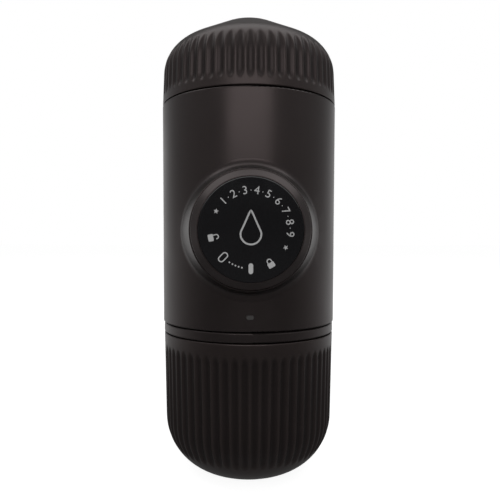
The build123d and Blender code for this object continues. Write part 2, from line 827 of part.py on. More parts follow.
def make_portafilter():
    skirt_low = ring_low - skirt_length
    bowl_outer = bowl_radius + bowl_wall
    outside = turned(
        (0, outlet_bottom),
        (outlet_radius, outlet_bottom),
        (outlet_radius, bowl_underside),
        (bowl_outer - bowl_floor, bowl_underside),
        (bowl_outer, bowl_bottom),
        (bowl_outer, skirt_low - (skirt_radius - bowl_outer)),
        (skirt_radius, skirt_low),
        (skirt_radius, ring_low),
        (ring_radius, ring_low),
        (ring_radius, ring_high),
        (0, ring_high),
    )
    outside = fillet(ring_edges(outside), edge_round)
    inside = turned(
        (0, bowl_bottom),
        (bowl_radius, bowl_bottom),
        (bowl_radius, basket_ledge),
        (head_bore, basket_ledge),
        (head_bore, ring_high),
        (0, ring_high),
    )
    groove_floor = cup_seal_outer - 2 * cup_seal_section - groove_play / 2
    half = cup_seal_section + groove_play
    groove = tube(skirt_radius + seat_gap, groove_floor, cup_seal_level - half, cup_seal_level + half)
    half_pitch = thread_lead / thread_starts / 2
    ridges = thread(head_bore, False, head_bottom + head_thread_rise + half_pitch)
    body = outside - inside - groove + ridges

    body -= disc(outlet_bore, outlet_bottom, bowl_underside)
    body -= disc(valve_stem_radius + seat_gap, bowl_underside, bowl_bottom)
    body -= on_circle(disc(drain_radius, bowl_underside, bowl_bottom), drain_circle, drain_count)
    lug_root = outlet_radius - ridge_bite
    lug_low = outlet_bottom + spout_lug_rise
    lug_high = lug_low + spout_lug_thickness
    lug = sector(spout_lug_radius, lug_root, lug_low, lug_high, 0, spout_lug_width)
    body += around(lug, spout_lug_count)
    seal_groove = tube(
        spout_seal_circle + spout_seal_section + groove_play / 2,
        spout_seal_circle - spout_seal_section - groove_play / 2,
        outlet_bottom,
        outlet_bottom + 2 * spout_seal_section,
    )
    return body - seal_groove


def ring_edges(solid):
    """The two outer edges of the portafilter's ring."""
    rims = solid.edges().filter_by(GeomType.CIRCLE)
    return rims.filter_by(lambda edge: abs(edge.radius - ring_radius) < seat_gap)


def make_cup_seal():
    return seal_ring(cup_seal_outer - cup_seal_section, cup_seal_section, cup_seal_level)


def make_coffee_valve():
    disc_high = bowl_underside - seat_gap
    valve = disc(valve_disc_radius, disc_high - valve_disc_thickness, disc_high)
    valve += disc(valve_stem_radius, disc_high, bowl_bottom + slide_gap)
    bulb_low = bowl_bottom + seat_gap
    return valve + cone(valve_bulb_radius, valve_stem_radius, bulb_low, bulb_low + valve_bulb_height)


def make_spout_seal():
    return seal_ring(spout_seal_circle, spout_seal_section, outlet_bottom + spout_seal_section - seat_gap)


def make_spout():
    outside = turned(
        (0, spout_tip),
        (spout_nozzle_tip_radius, spout_tip),
        (spout_nozzle_radius, spout_shelf - spout_floor / 2),
        (spout_radius - spout_floor, spout_shelf),
        (spout_radius, spout_floor_top),
        (spout_radius, spout_top),
        (0, spout_top),
    )
    spout = outside - disc(outlet_radius + slide_gap, spout_floor_top, spout_top)
    spout -= disc(spout_groove_radius, spout_groove_low, spout_groove_high)
    entry = sector(
        spout_groove_radius,
        outlet_radius,
        spout_groove_low,
        spout_top,
        spout_turn,
        spout_lug_width + 2 * stop_gap,
    )
    spout -= around(entry, spout_lug_count)
    return spout - disc(spout_bore, spout_tip, spout_floor_top)


# ---------------------------------------------------------------- all pieces
nodes = {
    "cup": make_cup(),
    "water_tank": make_water_tank(),
    "tank_seal": make_tank_seal(),
    "tank_socket": make_tank_socket(),
    "inlet_strainer": make_inlet_strainer(),
    "body_shell": make_body_shell(),
    "pump_cylinder": make_pump_cylinder(),
    "pump_screws": make_pump_screws(),
    "lock_ring": make_lock_ring(),
    "piston": make_piston(),
    "piston_seals": make_piston_seals(),
    "pump_spring": make_pump_spring(),
    "knob": make_knob(),
    "label_disc": make_label_disc(),
    "knob_washer": make_knob_washer(),
    "knob_screw": make_knob_screw(),
    "inlet_fitting": make_inlet_fitting(),
    "inlet_ball": valve_ball(pump_level + inlet_ball_height),
    "inlet_spring": valve_spring(pump_level + chamber_start),
    "outlet_fitting": make_outlet_fitting(),
    "outlet_ball": valve_ball(pump_level - outlet_ball_depth),
    "outlet_spring": valve_spring(pump_level - outlet_seat_depth),
    "fitting_seals": make_fitting_seals(),
    "brew_head": make_brew_head(),
    "brew_head_screws": make_head_screws(),
    "group_gasket": make_group_gasket(),
    "shower_plate": make_shower_plate(),
    "shower_screw": make_shower_screw(),
    "filter_basket": make_filter_basket(),
    "scoop": make_scoop(),
    "portafilter": make_portafilter(),
    "cup_seal": make_cup_seal(),
    "coffee_valve": make_coffee_valve(),
    "spout_seal": make_spout_seal(),
    "spout": make_spout(),
}
for node, shape in nodes.items():
    export_step(shape, f"parts/{node}.step")
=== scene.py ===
import json
import math

import bpy
from mathutils import Matrix, Vector


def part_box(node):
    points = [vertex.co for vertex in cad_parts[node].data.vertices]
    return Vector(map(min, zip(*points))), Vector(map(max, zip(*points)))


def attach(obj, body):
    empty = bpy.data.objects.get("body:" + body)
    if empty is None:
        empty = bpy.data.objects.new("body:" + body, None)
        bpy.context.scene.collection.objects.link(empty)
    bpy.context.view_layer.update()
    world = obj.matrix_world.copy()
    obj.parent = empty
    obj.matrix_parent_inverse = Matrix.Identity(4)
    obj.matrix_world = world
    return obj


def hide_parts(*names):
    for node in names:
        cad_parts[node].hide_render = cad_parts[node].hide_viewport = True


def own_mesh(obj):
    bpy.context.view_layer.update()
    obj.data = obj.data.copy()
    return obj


# A pocket espresso maker that is pumped by hand, closed and standing on its cup.
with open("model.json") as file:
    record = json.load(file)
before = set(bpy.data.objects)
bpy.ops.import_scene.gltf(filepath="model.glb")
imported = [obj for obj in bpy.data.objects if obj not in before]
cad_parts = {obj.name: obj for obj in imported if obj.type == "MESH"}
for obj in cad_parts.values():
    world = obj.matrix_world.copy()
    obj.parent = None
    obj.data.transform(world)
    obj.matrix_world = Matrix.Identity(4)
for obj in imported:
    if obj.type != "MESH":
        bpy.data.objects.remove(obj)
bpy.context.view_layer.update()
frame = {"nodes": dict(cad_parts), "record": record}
MM = 0.001
QUARTER_TURN = math.pi / 2

# Levels and radii of the outside, in millimetres.
CUP_TOP, CUP_RADIUS = 47.8, 29.36
TANK_LOW, TANK_TOP, TANK_RADIUS = 126.0, 156.0, 30.2
NECK_RADIUS, NECK_BORE, NECK_LOW = 24.4, 22.6, 110.856
PUMP_LEVEL = 82.25
KNOB_FRONT, DISC_BACK, DISC_FRONT = 39.496, 38.596, 39.396
BODY_FRONT = 29.71
WALL = 2.4
OPEN_EDGE = 0.5  # the height of a ribbed piece's plain strip at its open end

# The ribs are the lands between flutes.
FLUTES, FLUTE_WIDTH, FLUTE_DEPTH = 60, 2.4, 0.62
LAND_SOFTNESS = 0.05

# How finely the pieces are divided.
LONGEST_STEP = 2.5
ROUND_STEPS, FLUTE_STEPS = 180, 12
MERGE = MM / 1000
SHARP = math.radians(40)


# ---------------------------------------------------------------- choosing and joining
def deselect():
    if bpy.context.object and bpy.context.object.mode != "OBJECT":
        end_edit()
    bpy.ops.object.select_all(action="DESELECT")


def take(piece):
    """Makes a piece the only selected and active one."""
    deselect()
    piece.select_set(True)
    bpy.context.view_layer.objects.active = piece


def start_edit(piece):
    """Opens a piece's mesh, with all of it selected."""
    take(piece)
    bpy.ops.object.mode_set(mode="EDIT")
    bpy.ops.mesh.select_all(action="SELECT")


def end_edit():
    bpy.ops.object.mode_set(mode="OBJECT")


def pick(piece, chosen):
    """Opens a piece's mesh, with only the vertices of these numbers selected."""
    start_edit(piece)
    bpy.ops.mesh.select_all(action="DESELECT")
    end_edit()
    for number in chosen:
        piece.data.vertices[number].select = True
    bpy.ops.object.mode_set(mode="EDIT")


def move(piece, chosen, way):
    """Moves the vertices that have these numbers."""
    pick(piece, chosen)
    bpy.ops.transform.translate(value=way)
    end_edit()


def settle(piece):
    """Works a piece's place, turn and size into its mesh."""
    take(piece)
    bpy.ops.object.transform_apply(location=True, rotation=True, scale=True)


def swing(piece, degrees):
    """Turns a piece about the Z axis, anticlockwise from above."""
    piece.rotation_euler = (0, 0, math.radians(degrees))
    settle(piece)


def join(first, *others):
    """Makes one piece of several, under the name of the first."""
    take(first)
    for other in others:
        other.select_set(True)
    bpy.ops.object.join()
    return first


def modify(piece, kind, **settings):
    """Adds a modifier with these settings and applies it."""
    take(piece)
    added = piece.modifiers.new(kind.lower(), kind)
    for setting, value in settings.items():
        setattr(added, setting, value)
    bpy.ops.object.modifier_apply(modifier=added.name)


# ---------------------------------------------------------------- outlines
def rounded(*corners):
    """The points of an outline through (radius, height, round) corners, in millimetres."""
    points = [Vector(corners[0][:2])]
    for before, corner, after in zip(corners, corners[1:], corners[2:]):
        here, size = Vector(corner[:2]), corner[2]
        back = (Vector(before[:2]) - here).normalized()
        ahead = (Vector(after[:2]) - here).normalized()
        turn = math.pi - back.angle(ahead)
        if size == 0 or turn < 0.01:
            points.append(here)
            continue
        middle = here + (back + ahead).normalized() * size / math.cos(turn / 2)
        start = here + back * size * math.tan(turn / 2) - middle
        end = here + ahead * size * math.tan(turn / 2) - middle
        steps = max(3, round(turn * math.sqrt(size) * 4))
        for k in range(steps + 1):
            share = k / steps
            arm = start * math.sin((1 - share) * turn) + end * math.sin(share * turn)
            points.append(middle + arm / math.sin(turn))
    points.append(Vector(corners[-1][:2]))
    return points


def held(points, hold=0.15):
    """The same outline with a point close to both ends of each long straight step, so that the
    shading of a flat face stays flat up to its rounded edges."""
    made = [points[0]]
    for a, b in zip(points, points[1:]):
        length = (b - a).length
        if length > 4 * hold:
            made += [a.lerp(b, hold / length), b.lerp(a, hold / length)]
        made.append(b)
    return made


def divided(points, longest, first=0.0, last=math.inf):
    """The same outline with no step longer than that, in millimetres, between two distances
    along it."""
    made, way = [points[0]], 0.0
    for a, b in zip(points, points[1:]):
        length = (b - a).length
        inside = way + length > first and way < last
        count = max(1, math.ceil(length / longest)) if inside else 1
        made += [a.lerp(b, k / count) for k in range(1, count + 1)]
        way += length
    return made


# ---------------------------------------------------------------- drawing and turning
def draw(name, points):
    """Draws an outline of (radius, height) points as a line of edges in the XZ plane."""
    deselect()
    bpy.ops.mesh.primitive_plane_add(size=MM, location=(0, 0, 0))
    piece = bpy.context.object
    piece.name = piece.data.name = name
    bpy.ops.object.mode_set(mode="EDIT")
    bpy.ops.mesh.merge(type="CENTER")
    bpy.ops.transform.translate(value=(points[0][0] * MM, 0, points[0][1] * MM))
    for a, b in zip(points, points[1:]):
        step = ((b[0] - a[0]) * MM, 0, (b[1] - a[1]) * MM)
        bpy.ops.mesh.extrude_vertices_move(TRANSFORM_OT_translate={"value": step})
    end_edit()
    return piece


def spin(piece, steps, degrees=360.0):
    """Spins an outline about the Z axis, anticlockwise from above."""
    start_edit(piece)
    bpy.ops.mesh.spin(
        steps=steps, angle=math.radians(-degrees), center=(0, 0, 0), axis=(0, 0, 1)
    )
    end_edit()


def fill_ends(piece, corners):
    """Closes the open ends of a bar or wire that has that many corners round it."""
    start_edit(piece)
    bpy.ops.mesh.remove_doubles(threshold=MERGE)
    bpy.ops.mesh.fill_holes(sides=corners)
    end_edit()


def close_up(piece):
    """Merges what coincides, points the faces outwards and smooths the shading."""
    start_edit(piece)
    bpy.ops.mesh.remove_doubles(threshold=MERGE)
    bpy.ops.mesh.dissolve_degenerate(threshold=MERGE / 10)
    bpy.ops.mesh.select_all(action="SELECT")
    bpy.ops.mesh.delete_loose()
    bpy.ops.mesh.select_all(action="SELECT")
    bpy.ops.mesh.normals_make_consistent(inside=False)
    end_edit()
    bpy.ops.object.shade_smooth_by_angle(angle=SHARP)


def turned(name, points):
    """A round piece about the Z axis."""
    piece = draw(name, points)
    spin(piece, ROUND_STEPS)
    close_up(piece)
    return piece


def all_round(piece, count):
    """Repeats a piece of a round evenly about the Z axis and merges the copies."""
    deselect()
    bpy.ops.object.empty_add(rotation=(0, 0, math.tau / count))
    pivot = bpy.context.object
    modify(
        piece, "ARRAY", count=count, use_relative_offset=False, use_object_offset=True,
        offset_object=pivot,
    )
    bpy.data.objects.remove(pivot)
    close_up(piece)


def place_on_pump(piece):
    """Turns a piece modelled about the Z axis to the pump's axis, its top towards the front."""
    place = Matrix.Translation((0, 0, PUMP_LEVEL * MM))
    piece.matrix_world = place @ Matrix.Rotation(QUARTER_TURN, 4, "X")
    settle(piece)
    return piece


# ---------------------------------------------------------------- flutes
def flute_depth_at(way, start, end, start_bend, end_bend):
    """How deep a flute's middle lies below the surface at a distance along the side. It leaves
    the surface in an arc at each end, and past that it counts as above it."""
    if way < start:
        past, bend = start - way, start_bend
    else:
        past, bend = max(way - end, 0.0), end_bend
    return FLUTE_DEPTH - (bend - math.sqrt(max(bend**2 - past**2, 0.0)))


def sink_flute(piece, outer, **ends):
    """Sinks one flute into the outer side of a turned panel, along the panel's middle. The
    attribute hollow keeps how deep each point of it lies, from 0 to 1."""
    pitch = math.tau / FLUTES
    ways = [0.0]
    for a, b in zip(outer, outer[1:]):
        ways.append(ways[-1] + (b - a).length)
    curve = (FLUTE_WIDTH**2 / 4 + FLUTE_DEPTH**2) / (2 * FLUTE_DEPTH)
    shares = []
    for vertex in piece.data.vertices:
        spot = Vector((vertex.co.xy.length, vertex.co.z)) / MM
        gap, way = min(((spot - point).length, way) for point, way in zip(outer, ways))
        middle = flute_depth_at(way, **ends)
        on_surface, out_of_reach = gap <= 0.01, middle < -1
        if out_of_reach or not on_surface:
            shares.append(0.0)
            continue
        across = spot.x * abs(math.atan2(vertex.co.y, vertex.co.x) - pitch / 2)
        depth = middle - (curve - math.sqrt(max(curve**2 - across**2, 0.0)))
        depth = (depth + math.sqrt(depth**2 + LAND_SOFTNESS**2)) / 2
        shares.append(min(depth / FLUTE_DEPTH, 1.0))
    piece.data.attributes.new("hollow", "FLOAT", "POINT").data.foreach_set("value", shares)
    sunk = piece.vertex_groups.new(name="sunk")
    for k, share in enumerate(shares):
        sunk.add([k], share, "REPLACE")
    deepest = piece.data.vertices[max(range(len(shares)), key=shares.__getitem__)]
    outward = 1 if deepest.normal.xy.dot(deepest.co.xy) > 0 else -1
    modify(
        piece, "DISPLACE", vertex_group="sunk", strength=-outward * FLUTE_DEPTH * MM,
        mid_level=0, direction="NORMAL",
    )
    piece.vertex_groups.clear()


def fluted_round(name, outer, rest, centre, **ends):
    """A round piece whose outer line carries the flutes, from start to end along it. One
    flute's width of it is turned, its flute is sunk, and then it is repeated all round. One
    flute's middle stands at the angle centre."""
    pitch = 360 / FLUTES
    piece = draw(name, outer + rest)
    spin(piece, FLUTE_STEPS, pitch)
    sink_flute(piece, outer, **ends)
    swing(piece, centre - pitch / 2)
    all_round(piece, FLUTES)
    return piece


# ---------------------------------------------------------------- cup and water tank
def make_cup():
    foot, foot_round = 28.25, 19.7
    outer = rounded((CUP_RADIUS, CUP_TOP, 0), (foot, 0, foot_round), (0.0, 0, 0))
    outer = [Vector((CUP_RADIUS, CUP_TOP - OPEN_EDGE))] + outer[1:-1]
    outer = divided(outer, LONGEST_STEP)
    outer = divided(outer, 0.4, first=2.5, last=6.5)
    outer = divided(outer, 0.6, first=31.0, last=44.0) + [Vector((0.0, 0.0))]
    inner = rounded((0.0, WALL, 0), (25.85, WALL, 18.0), (27.0, CUP_TOP - 0.4, 0))
    rim = [(27.15, 0.1), (27.4, 0.0), (29.1, 0.0), (29.26, 0.05), (29.34, 0.16)]
    rim = [Vector((radius, CUP_TOP - below)) for radius, below in rim]
    return fluted_round(
        "cup_body", outer, inner + rim + outer[:1], centre=3.0,
        start=6.6, end=36.5, start_bend=9.0, end_bend=9.0,
    )


def make_water_tank():
    """The ribbed dome, its double floor and its neck with the screw thread."""
    edge = (30.184, TANK_LOW + OPEN_EDGE)
    shoulder, shoulder_low, shoulder_round = 29.6, TANK_TOP - 11.8, 12.3
    crown, crown_round = 7.3, 16.0
    outer = rounded(
        (TANK_RADIUS, TANK_LOW, 0), (shoulder, shoulder_low, shoulder_round),
        (crown, TANK_TOP, crown_round), (0.0, TANK_TOP, 0),
    )
    outer = divided([Vector(edge)] + outer[1:-1], LONGEST_STEP)
    outer = divided(outer, 0.4, first=1.0, last=4.5)
    outer = divided(outer, 0.5, first=11.0, last=19.5) + [Vector((0.0, TANK_TOP))]
    roof, floor_top = TANK_TOP - WALL, TANK_LOW + WALL
    inner = rounded(
        (0.0, roof, 0), (6.0, roof, 13.6), (27.25, 142.7, 9.9), (27.7, floor_top, 0),
        (NECK_BORE, floor_top, 0.3), (NECK_BORE, NECK_LOW, 0.3), (NECK_RADIUS, NECK_LOW, 0.3),
        (NECK_RADIUS, TANK_LOW, 0.2), (TANK_RADIUS, TANK_LOW, 0.3), (*edge, 0),
    )
    tank = fluted_round(
        "tank_body", outer, inner, centre=0.0,
        start=4.6, end=12.6, start_bend=6.0, end_bend=20.0,
    )
    return join(tank, make_tank_thread())


def make_tank_thread():
    """The three ridges of the tank's screw thread, rooted in its neck."""
    starts, lead, sweep, steps = 3, 5, 150, 36
    low = NECK_LOW + 2.2
    root, root_half = NECK_RADIUS - 0.3, 1.2
    crest, crest_half = NECK_RADIUS + 1.0, 0.65
    outline = [
        (root, low - root_half), (crest, low - crest_half),
        (crest, low + crest_half), (root, low + root_half),
    ]
    ridge = draw("tank_thread", outline + outline[:1])
    modify(
        ridge, "SCREW", angle=math.radians(sweep), screw_offset=lead * MM,
        steps=steps, render_steps=steps,
    )
    fill_ends(ridge, 4)
    all_round(ridge, starts)
    return ridge


# ---------------------------------------------------------------- knob and its disc
def make_knob():
    """The knob: a bevelled face, a skirt that slides in the collar, and a hub with two lugs."""
    hub, hub_bore, hub_back = 7.6, 4.58, 5.0
    skirt, skirt_bore, skirt_back = 17.35, 15.35, 12.0
    face_back, bevel = 36.1, 2.0
    recess, well, well_floor = 15.15, 4.7, 36.6
    screw_hole, screw_seat = 3.08, 29.8
    outline = rounded(
        (hub_bore, hub_back, 0), (hub, hub_back, 0.2), (hub, face_back, 0.6),
        (skirt_bore, face_back, 0.6), (skirt_bore, skirt_back, 0.2), (skirt, skirt_back, 0.2),
        (skirt, KNOB_FRONT - bevel, 0.4), (skirt - bevel, KNOB_FRONT, 0.25),
        (recess, KNOB_FRONT, 0), (recess, DISC_BACK, 0), (well, DISC_BACK, 0),
        (well, well_floor, 0), (screw_hole, well_floor, 0), (screw_hole, screw_seat, 0),
        (hub_bore, screw_seat, 0), (hub_bore, hub_back, 0),
    )
    knob = turned("knob_body", held(outline))
    return place_on_pump(join(knob, make_knob_lugs(hub_back)))


def make_knob_lugs(back):
    """The two lugs of the hub, which run in the turning track."""
    root, tip, deep, spread, steps = 7.3, 9.8, 3.0, 30, 10
    outline = [(root, back), (tip, back), (tip, back + deep), (root, back + deep)]
    lug = draw("knob_lug", outline + outline[:1])
    spin(lug, steps, spread)
    swing(lug, -spread / 2)
    fill_ends(lug, 4)
    modify(lug, "BEVEL", width=0.2 * MM, segments=2, limit_method="ANGLE", angle_limit=SHARP)
    all_round(lug, 2)
    return lug


def make_disc():
    radius = 15.05
    outline = rounded(
        (0.0, DISC_BACK, 0), (radius, DISC_BACK, 0.1), (radius, DISC_FRONT, 0.12),
        (0.0, DISC_FRONT, 0),
    )
    return place_on_pump(turned("disc_body", held(outline)))


# ---------------------------------------------------------------- valve springs
SPRING_WIRE, SPRING_RADIUS, SPRING_TURNS = 0.2, 1.5, 5
WIRE_CORNERS, COIL_STEPS = 10, 24
BALL_DROP = 1.2


def make_valve_spring(node):
    """The coil under a valve's ball, in the place of its node, and the share of its height that
    it keeps when the ball has dropped."""
    low, high = (Vector(corner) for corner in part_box(node))
    tall = (high.z - low.z) / MM
    deselect()
    bpy.ops.mesh.primitive_circle_add(
        vertices=WIRE_CORNERS, radius=SPRING_WIRE * MM,
        location=(SPRING_RADIUS * MM, 0, SPRING_WIRE * MM), rotation=(QUARTER_TURN, 0, 0),
    )
    coil = bpy.context.object
    coil.name = coil.data.name = node + "_coil"
    settle(coil)
    rise = (tall - 2 * SPRING_WIRE) / SPRING_TURNS * MM
    modify(
        coil, "SCREW", screw_offset=rise, iterations=SPRING_TURNS,
        steps=COIL_STEPS, render_steps=COIL_STEPS,
    )
    fill_ends(coil, WIRE_CORNERS)
    close_up(coil)
    coil.location = ((low.x + high.x) / 2, (low.y + high.y) / 2, low.z)
    settle(coil)
    return coil, 1 - BALL_DROP / tall


# ---------------------------------------------------------------- printed marks
INK_HIGH = 0.02
MARK_CIRCLE = 11.1  # the radius that the disc's marks stand on
MIDDLE = MM / 100  # what lies this near to a mark's middle line counts as on it
LOCKED_CLOCK, UNLOCKED_CLOCK = 180, 225
DOT_CLOCKS = (193.2, 198.2, 203.0, 208.0, 213.0)
STAR_CLOCKS = (117.5, 297.5)
NUMBERS, NUMBER_START, NUMBER_PITCH = 9, -44, 17.6


def round_mark(name, radius, corners=40, stretch=0.0):
    """A flat round, drawn out upwards and downwards into a pill."""
    deselect()
    bpy.ops.mesh.primitive_circle_add(
        vertices=corners, radius=radius * MM, fill_type="NGON", location=(0, 0, 0)
    )
    mark = bpy.context.object
    mark.name = mark.data.name = name
    for side in (1, -1):
        half = [v.index for v in mark.data.vertices if v.co.y * side > radius * MM / 100]
        move(mark, half, (0, side * stretch * MM, 0))
    return mark


def hollow_out(mark, line):
    """Leaves only a line along a flat mark's edge."""
    start_edit(mark)
    bpy.ops.mesh.inset(thickness=line * MM, depth=0)
    bpy.ops.mesh.delete(type="FACE")
    end_edit()
    return mark


def thicken(mark):
    """Gives a flat mark a small height: a layer of ink for the disc's print, a thin face for the
    index mark.
    """
    start_edit(mark)
    bpy.ops.mesh.extrude_region_move(TRANSFORM_OT_translate={"value": (0, 0, INK_HIGH * MM)})
    bpy.ops.mesh.select_all(action="SELECT")
    bpy.ops.mesh.normals_make_consistent(inside=False)
    end_edit()
    return mark


def set_on_disc(mark, clock, distance=MARK_CIRCLE, lean=0.0):
    """Gives a mark its ink and moves it out to a distance from the disc's middle and round to an
    angle clockwise from the top, its own top pointing outwards and then leant by an angle."""
    thicken(mark)
    turn = Matrix.Rotation(math.radians(-clock), 4, "Z")
    place = Matrix.Translation((0, distance * MM, DISC_FRONT * MM))
    mark.matrix_world = turn @ place @ Matrix.Rotation(math.radians(lean), 4, "Z")
    settle(mark)
    return mark


def number_mark(text, height=3.3):
    deselect()
    bpy.ops.object.text_add(location=(0, 0, 0))
    mark = bpy.context.object
    mark.data.body = text
    mark.data.size = height * MM
    mark.data.align_x, mark.data.align_y = "CENTER", "CENTER"
    mark.data.resolution_u = 4
    bpy.ops.object.convert(target="MESH")
    mark.name = mark.data.name = "number_" + text
    return mark


def star_mark(radius=0.78, waist=0.45):
    """A star with five points. Its waist is a share of its radius."""
    star = round_mark("star", radius, corners=10)
    for number in range(1, 10, 2):
        move(star, [number], (waist - 1) * star.data.vertices[number].co)
    return star


def padlock_mark(is_open):
    """A small padlock. Its bow is lifted out on one side where it is open."""
    wide, tall, corner = 2.0, 1.5, 0.25
    bow_radius, line = 0.75, 0.3
    left_leg, right_leg, lift = (0.9, 0.12, 1.12) if is_open else (0.5, 0.5, 0.72)
    deselect()
    bpy.ops.mesh.primitive_plane_add(size=MM, location=(0, -0.5 * MM, 0))
    lock = bpy.context.object
    lock.name = lock.data.name = "padlock_open" if is_open else "padlock_closed"
    lock.scale = (wide, tall, 1)
    settle(lock)
    start_edit(lock)
    bpy.ops.mesh.bevel(offset=corner * MM, segments=4, affect="VERTICES")
    end_edit()
    bow = hollow_out(round_mark("bow", bow_radius), line)
    pick(bow, [v.index for v in bow.data.vertices if v.co.y < -MIDDLE])
    bpy.ops.mesh.delete(type="VERT")
    end_edit()
    for side, leg in ((-1, left_leg), (1, right_leg)):
        end = [v.index for v in bow.data.vertices if abs(v.co.y) < MIDDLE and v.co.x * side > 0]
        pick(bow, end)
        bpy.ops.mesh.select_mode(type="EDGE")
        bpy.ops.mesh.extrude_region_move(TRANSFORM_OT_translate={"value": (0, -leg * MM, 0)})
        bpy.ops.mesh.select_mode(type="VERT")
        end_edit()
    bow.location = (0, lift * MM, 0)
    settle(bow)
    return join(lock, bow)


def drop_mark(radius=3.2, pinch=0.42, tip=3.7, line=0.5):
    """A round whose upper half is pinched in and drawn up to a tip, left as a line."""
    drop = round_mark("drop", radius, corners=64)
    for number, (across, up, _) in enumerate([v.co.copy() for v in drop.data.vertices]):
        if up > 0:
            high = up / (radius * MM)
            move(drop, [number], (-across * pinch * high**2, tip * MM * high**3, 0))
    return hollow_out(drop, line)


def make_marks():
    """The disc's print: the two end marks of the knob's turn with dots between them and a
    padlock at each, a row of plain numbers over the top, and a drop in the middle."""
    marks = [set_on_disc(round_mark("locked_mark", 0.66, stretch=0.85), LOCKED_CLOCK)]
    ring = hollow_out(round_mark("unlocked_mark", 0.95, stretch=0.7), 0.34)
    marks.append(set_on_disc(ring, UNLOCKED_CLOCK))
    for clock in DOT_CLOCKS:
        marks.append(set_on_disc(round_mark("dot", 0.24, corners=16), clock))
    for clock in STAR_CLOCKS:
        marks.append(set_on_disc(star_mark(), clock))
    marks.append(set_on_disc(padlock_mark(is_open=False), 150, lean=180))
    marks.append(set_on_disc(padlock_mark(is_open=True), 258, lean=180))
    for k in range(NUMBERS):
        clock = NUMBER_START + NUMBER_PITCH * k
        marks.append(set_on_disc(number_mark(str(k + 1)), clock))
        if k < NUMBERS - 1:
            between = round_mark("dot", 0.14, corners=12)
            marks.append(set_on_disc(between, clock + NUMBER_PITCH / 2))
    marks.append(set_on_disc(drop_mark(), 0, distance=-1.3))
    print_layer = join(*marks)
    print_layer.name = print_layer.data.name = "disc_print"
    return place_on_pump(print_layer)


def make_index():
    """A flat face of lighter grey on the small raised mark under the pump."""
    raised, level = 0.25, 56.0
    index = thicken(round_mark("index_face", 0.62, stretch=0.5))
    place = Matrix.Translation((0, -(BODY_FRONT + raised) * MM, level * MM))
    upright, lying = (Matrix.Rotation(QUARTER_TURN, 4, axis) for axis in "XZ")
    index.matrix_world = place @ upright @ lying
    settle(index)
    return index


# ---------------------------------------------------------------- shader nodes
def bare_tree(owner):
    """The node tree of a material or a world, with nothing in it."""
    owner.use_nodes = True
    owner.node_tree.nodes.clear()
    return owner.node_tree


def new_group(name, inputs, outputs):
    """A node group with named inputs, each with its value, and named outputs."""
    group = bpy.data.node_groups.new(name, "ShaderNodeTree")
    for socket, value in inputs.items():
        made = group.interface.new_socket(socket, in_out="INPUT", socket_type="NodeSocketFloat")
        made.default_value = value
    for socket, kind in outputs.items():
        group.interface.new_socket(socket, in_out="OUTPUT", socket_type=kind)
    return group, group.nodes.new("NodeGroupInput"), group.nodes.new("NodeGroupOutput")


def add(tree, kind, links=(), **settings):
    """Adds a node, sets it up, and feeds its inputs. A link's value is a socket or a constant."""
    made = tree.nodes.new(kind)
    for setting, value in settings.items():
        setattr(made, setting, value)
    for socket, value in dict(links).items():
        if isinstance(value, bpy.types.NodeSocket):
            tree.links.new(value, made.inputs[socket])
        else:
            made.inputs[socket].default_value = value
    return made


def reckon(tree, operation, *values):
    """The outcome of a sum with sockets and constants."""
    return add(tree, "ShaderNodeMath", dict(enumerate(values)), operation=operation).outputs[0]


def blended(tree, share, first, second):
    """A colour between two, each a socket or red, green and blue."""
    ends = [c if isinstance(c, bpy.types.NodeSocket) else (*c, 1) for c in (first, second)]
    links = {0: share, 6: ends[0], 7: ends[1]}
    return add(tree, "ShaderNodeMix", links, data_type="RGBA").outputs[2]


def either(tree, test, otherwise, chosen):
    """One shader where a test holds, and another otherwise."""
    return add(tree, "ShaderNodeMixShader", {0: test, 1: otherwise, 2: chosen}).outputs[0]


def graded(tree, value, start, end, low, high, kind="SMOOTHSTEP"):
    """Goes from one level to another while a value goes from start to end."""
    links = {"Value": value, "From Min": start, "From Max": end, "To Min": low, "To Max": high}
    return add(tree, "ShaderNodeMapRange", links, interpolation_type=kind).outputs[0]


def spread_out(tree, noise, low, high):
    """Spreads a noise, which stays near the middle of 0 to 1, between two numbers."""
    return graded(tree, noise, 0.3, 0.7, low, high, kind="LINEAR")


# ---------------------------------------------------------------- finishes
PLASTIC_IOR = 1.48
MOTTLE_ROUGHNESS, SMUDGE_GLOSS = 0.02, -0.12
# Deep flutes are painted down to this share of the dark tone as painted shade, and made this much
# rougher.
FLUTE_PAINTED_SHADE, HOLLOW_ROUGHNESS = 0.12, 0.08


def make_grain_group():
    """Fine even grain in a moulded surface, as the tool's texture leaves it."""
    group, given, result = new_group(
        "moulded grain", {"Size": 0.25, "Depth": 0.01},
        {"Normal": "NodeSocketVector", "Mottle": "NodeSocketFloat"},
    )
    place = add(group, "ShaderNodeTexCoord").outputs["Object"]
    scale = reckon(group, "DIVIDE", 1 / MM, given.outputs["Size"])
    noise = add(group, "ShaderNodeTexNoise", {"Vector": place, "Scale": scale, "Detail": 2.0})
    depth = reckon(group, "MULTIPLY", given.outputs["Depth"], MM)
    bump = add(
        group, "ShaderNodeBump",
        {"Strength": 1.0, "Distance": depth, "Height": noise.outputs["Fac"]},
    )
    group.links.new(bump.outputs["Normal"], result.inputs["Normal"])
    blotch = add(group, "ShaderNodeTexNoise", {"Vector": place, "Scale": 60.0, "Detail": 3.0})
    group.links.new(blotch.outputs["Fac"], result.inputs["Mottle"])
    return group


